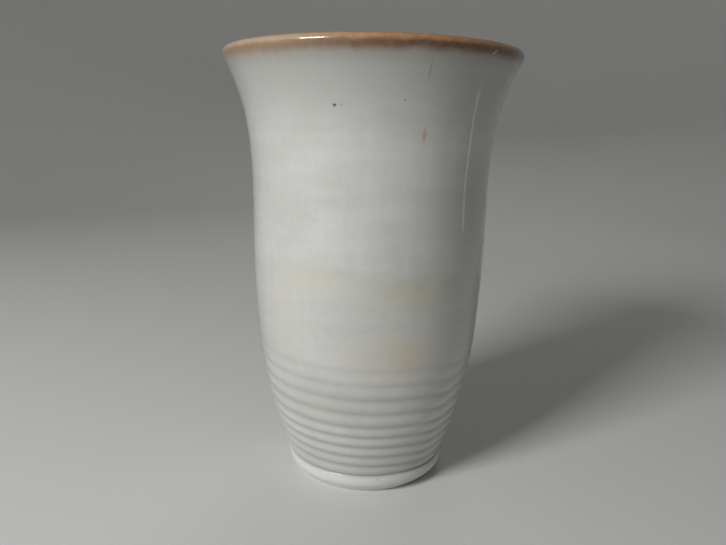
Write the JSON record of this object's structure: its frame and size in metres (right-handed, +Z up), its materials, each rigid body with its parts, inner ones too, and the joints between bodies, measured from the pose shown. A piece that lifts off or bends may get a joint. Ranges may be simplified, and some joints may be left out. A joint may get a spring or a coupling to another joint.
{
  "type": "stoneware vase",
  "caption": "Tall wheel-thrown stoneware vase with a flared mouth, throwing rings above a turned foot, a pale satin glaze and an iron-brown glazed lip.",
  "frame": {"origin": "on the vase's axis, in the plane that the foot ring rests on", "axes": "+Z up the vase's axis from the foot to the mouth; the vase is round, so +X and +Y are any two level directions at right angles"},
  "size_m": [0.1372, 0.1372, 0.203],
  "materials": {
    "bare_clay": "unglazed fired stoneware, matte buff-brown, faintly sanded by the turning tool",
    "white_glaze": "warm off-white satin glaze with faint grey, olive and peach clouds and a few iron specks",
    "liner_glaze": "off-white satin liner glaze, slightly creamier than the outside",
    "iron_glaze": "glossy iron-brown glaze, mottled orange and umber, broken thin over the lip"
  },
  "bodies": {
    "root": {"thrown_body": "bare_clay", "outer_glaze": "white_glaze", "inner_glaze": "liner_glaze", "lip_glaze": "iron_glaze"}
  },
  "joints": []
}
